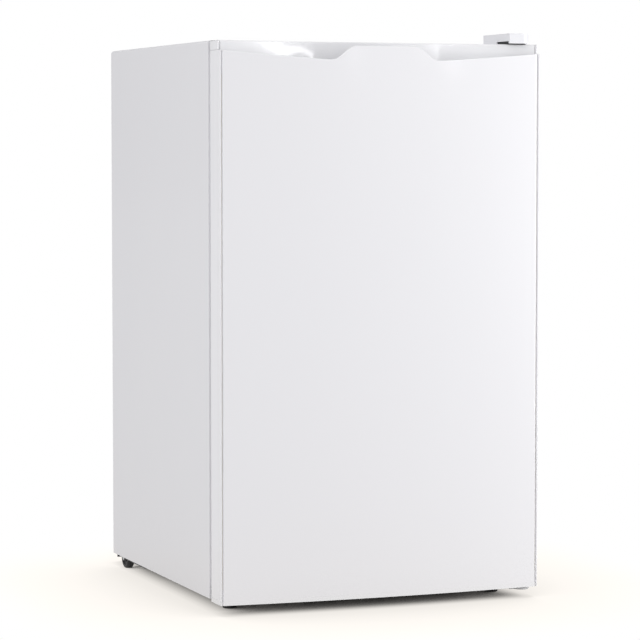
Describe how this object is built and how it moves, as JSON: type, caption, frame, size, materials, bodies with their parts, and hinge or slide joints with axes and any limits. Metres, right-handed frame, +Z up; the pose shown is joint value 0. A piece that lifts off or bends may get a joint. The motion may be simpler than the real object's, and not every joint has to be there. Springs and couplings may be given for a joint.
{
  "type": "mini fridge",
  "caption": "Under-counter refrigerator with a swollen hinged door, scooped top handle, freezer box, glass shelves, crisper drawer and rear wire condenser.",
  "frame": {"origin": "bottom centre of the bounding box, on the floor", "axes": "+Z up, +X to the fridge's right seen from the front, -Y the side of the door"},
  "size_m": [0.504, 0.584, 0.847],
  "materials": {
    "cabinet_paint": "satin",
    "door_paint": "gloss",
    "galvanised": "satin",
    "foam": "matte",
    "liner_white": "satin",
    "cap_white": "gloss",
    "trim_white": "satin",
    "clear_plastic": "gloss",
    "shelf_glass": "polished",
    "lamp_glass": "polished",
    "lamp_diffuser": "satin",
    "aluminium": "satin",
    "black_steel": "satin",
    "grey_steel": "satin",
    "zinc": "satin",
    "black_plastic": "matte",
    "black_rubber": "matte",
    "gasket_white": "matte",
    "nylon": "satin",
    "copper": "satin"
  },
  "bodies": {
    "cabinet": {"outer_shell": "cabinet_paint", "back_plate": "galvanised", "bottom_plate": "galvanised", "cabinet_foam": "foam", "inner_liner": "liner_white", "hinge_hole_plugs": "trim_white", "freezer_frame": "trim_white", "evaporator_box": "aluminium", "evaporator_screws": "zinc", "shelf_glass_upper": "shelf_glass", "shelf_trim_upper": "trim_white", "shelf_glass_lower": "shelf_glass", "shelf_trim_lower": "trim_white", "crisper_cover": "shelf_glass", "crisper_trim": "trim_white", "thermostat_housing": "trim_white", "lamp_holder": "trim_white", "lamp_bulb": "lamp_glass", "lamp_cover": "lamp_diffuser", "switch_housing": "trim_white", "top_hinge_bracket": "black_steel", "top_hinge_screws": "zinc", "top_hinge_cover": "cap_white", "bottom_hinge_bracket": "grey_steel", "left_foot_plate": "grey_steel", "bracket_screws": "zinc", "base_plate": "black_steel", "roller_axles": "zinc", "compressor": "black_steel", "compressor_grommets": "black_rubber", "compressor_nuts": "zinc", "relay_cover": "black_plastic", "cord_gland": "black_rubber", "evaporation_tray": "black_plastic", "drain_tube": "nylon", "condenser_tube": "black_steel", "condenser_wires": "black_steel", "condenser_brackets": "black_plastic", "filter_drier": "copper", "refrigerant_pipes": "copper"},
    "door": {"door_panel": "door_paint", "door_frame": "door_paint", "door_top_cap": "cap_white", "door_bottom_cap": "cap_white", "door_foam": "foam", "door_liner": "liner_white", "door_gasket": "gasket_white", "door_bushes": "nylon", "rack_upper": "clear_plastic", "rack_middle": "clear_plastic", "rack_lower": "clear_plastic"},
    "freezer_flap": {"freezer_flap": "clear_plastic"},
    "chiller_tray": {"chiller_tray": "clear_plastic"},
    "crisper_drawer": {"crisper_drawer": "clear_plastic"},
    "thermostat_knob": {"thermostat_knob": "cap_white"},
    "switch_plunger": {"switch_plunger": "cap_white"},
    "levelling_foot_left": {"levelling_foot_left": "black_plastic"},
    "levelling_foot_right": {"levelling_foot_right": "black_plastic"},
    "rear_roller_left": {"rear_roller_left": "black_plastic"},
    "rear_roller_right": {"rear_roller_right": "black_plastic"}
  },
  "joints": [
    {"name": "door_hinge", "type": "hinge", "parent": "cabinet", "child": "door", "pos_m": [0.234, -0.261, 0.4], "axis": [0, 0, 1], "range_deg": [0, 120]},
    {"name": "freezer_flap_hinge", "type": "hinge", "parent": "cabinet", "child": "freezer_flap", "pos_m": [0, -0.093, 0.7764], "axis": [-1, 0, 0], "range_deg": [0, 90]},
    {"name": "chiller_tray_slide", "type": "slide", "parent": "cabinet", "child": "chiller_tray", "axis": [0, -1, 0], "range_m": [0, 0.072]},
    {"name": "crisper_slide", "type": "slide", "parent": "cabinet", "child": "crisper_drawer", "axis": [0, -1, 0], "range_m": [0, 0.144]},
    {"name": "thermostat_turn", "type": "hinge", "parent": "cabinet", "child": "thermostat_knob", "pos_m": [0.18, -0.036, 0.59681], "axis": [-1, 0, 0], "range_deg": [0, 300]},
    {"name": "switch_press", "type": "slide", "parent": "cabinet", "child": "switch_plunger", "axis": [0, -1, 0], "range_m": [0, 0.006]},
    {"name": "foot_left_turn", "type": "hinge", "parent": "cabinet", "child": "levelling_foot_left", "pos_m": [-0.212, -0.202, 0], "axis": [0, 0, 1], "continuous": true},
    {"name": "foot_right_turn", "type": "hinge", "parent": "cabinet", "child": "levelling_foot_right", "pos_m": [0.212, -0.202, 0], "axis": [0, 0, 1], "continuous": true},
    {"name": "roller_left_turn", "type": "hinge", "parent": "cabinet", "child": "rear_roller_left", "pos_m": [-0.238, 0.222, 0.0175], "axis": [1, 0, 0], "continuous": true},
    {"name": "roller_right_turn", "type": "hinge", "parent": "cabinet", "child": "rear_roller_right", "pos_m": [0.238, 0.222, 0.0175], "axis": [1, 0, 0], "continuous": true}
  ],
  "couplings": [
    {"joint": "chiller_tray_slide", "follows": "door_hinge", "m_per_rad": 0.034373},
    {"joint": "crisper_slide", "follows": "door_hinge", "m_per_rad": 0.06875},
    {"joint": "switch_press", "follows": "door_hinge", "m_per_rad": 0.0028643}
  ]
}
